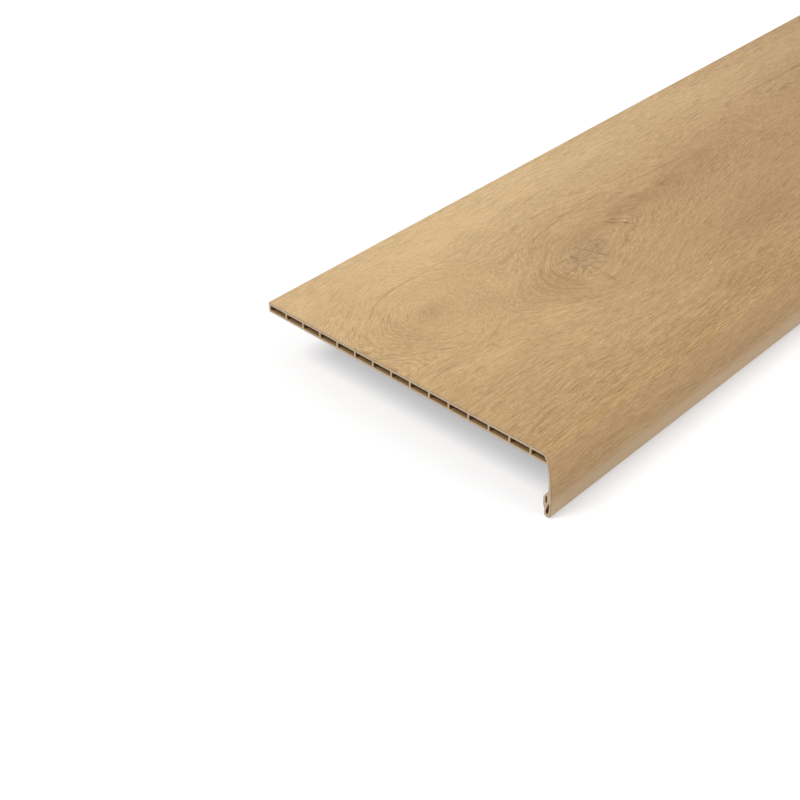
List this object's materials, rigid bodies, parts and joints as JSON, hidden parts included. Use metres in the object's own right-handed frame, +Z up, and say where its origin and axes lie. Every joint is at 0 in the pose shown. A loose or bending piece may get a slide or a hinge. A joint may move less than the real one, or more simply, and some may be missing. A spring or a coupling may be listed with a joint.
{
  "type": "stair tread",
  "caption": "Hollow-core stair tread with wood decor: a thin flat panel whose front edge turns down into a rounded nose with a hollow bulb, cut square at both ends.",
  "frame": {"origin": "middle of the footprint, level with the bottom of the nose", "axes": "+X along the step's width, which is the length of the stock; -Y toward the nose, the tread's front; +Z up, normal to the walking surface"},
  "size_m": [1, 0.3, 0.057],
  "materials": {
    "oak_decor_composite": "matt embossed wood decor"
  },
  "bodies": {
    "root": {"stair_tread": "oak_decor_composite"}
  },
  "joints": []
}
